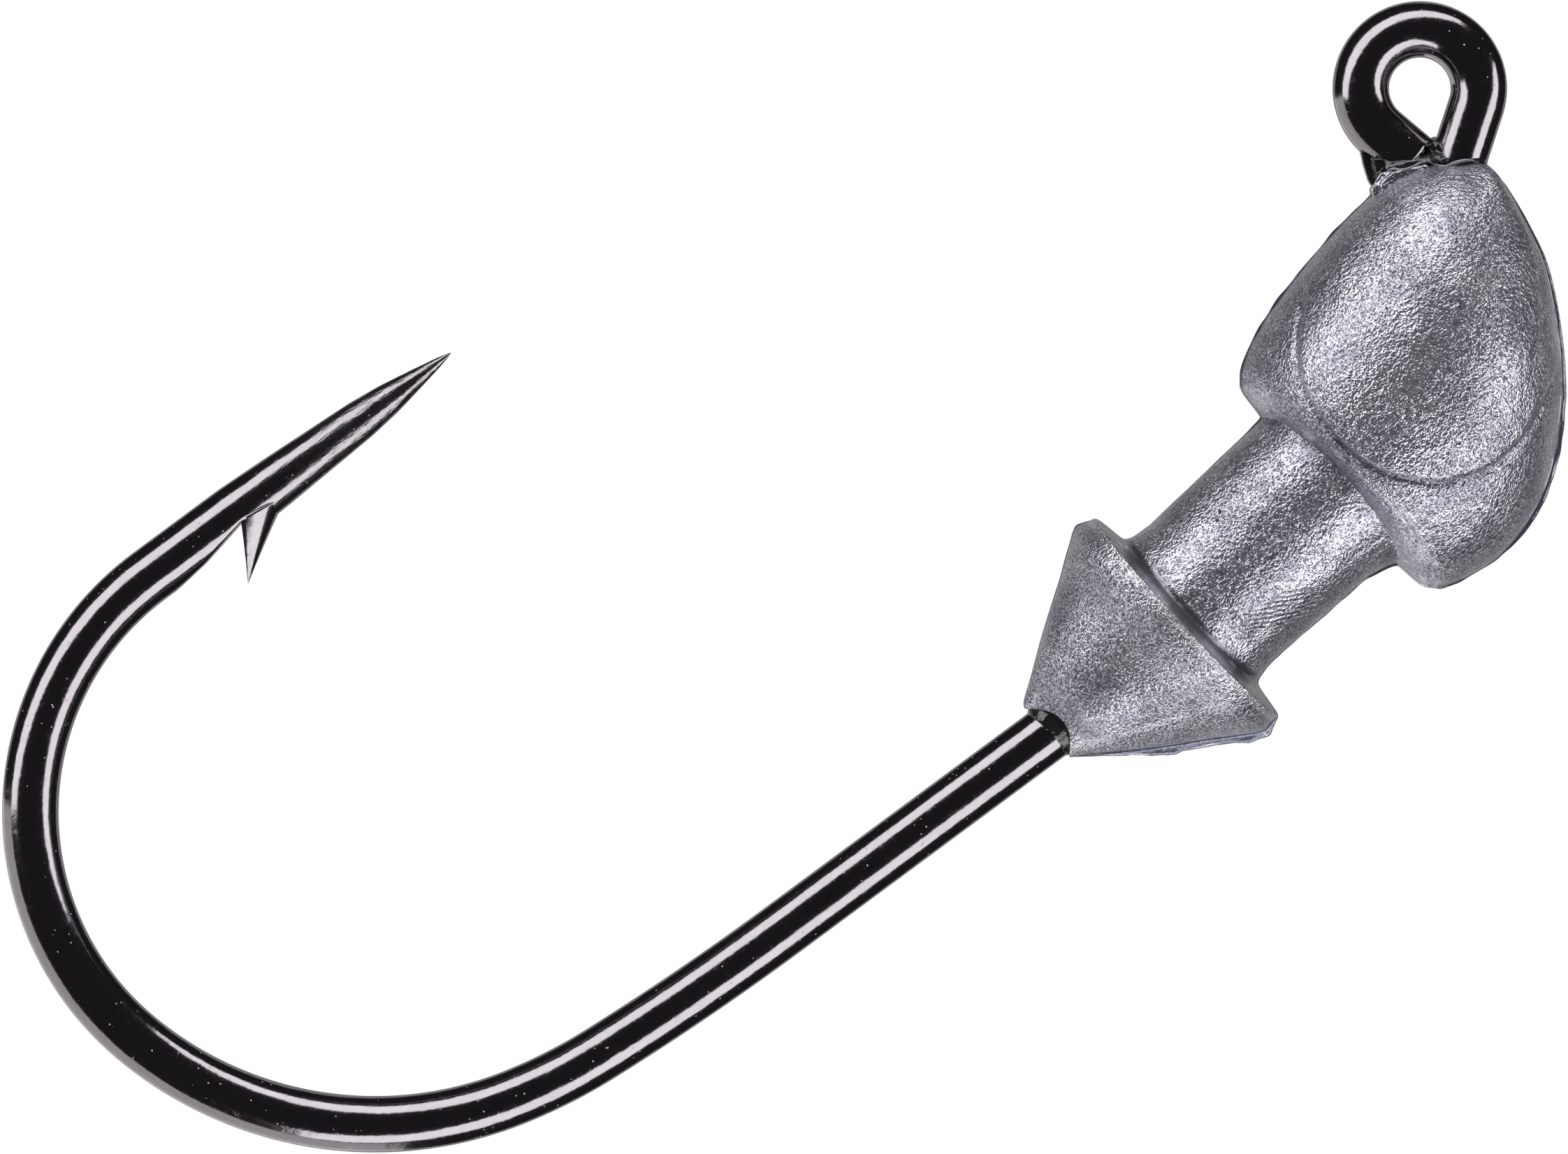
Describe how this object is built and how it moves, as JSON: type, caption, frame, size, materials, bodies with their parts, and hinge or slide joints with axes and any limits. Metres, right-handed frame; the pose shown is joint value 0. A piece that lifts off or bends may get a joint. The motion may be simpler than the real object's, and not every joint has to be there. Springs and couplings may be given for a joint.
{
  "type": "jig head",
  "caption": "Fishing jig head: a wire hook with a line-tie eye and a barbed point, and a lead head with a barbed bait keeper cast on its shank.",
  "frame": {"origin": "centre of the line-tie eye", "axes": "+X forward along the hook's shank, from the bend to the nose; +Z towards the side that the hook's point is on; +Y across the hook, normal to its plane"},
  "size_m": [0.0492, 0.0086, 0.0235],
  "materials": {
    "hook": "glossy black nickel plating on a steel wire",
    "lead": "raw lead as cast, satin with a fine pebbled grain"
  },
  "bodies": {
    "root": {"hook": "hook", "lead_casting": "lead"}
  },
  "joints": []
}
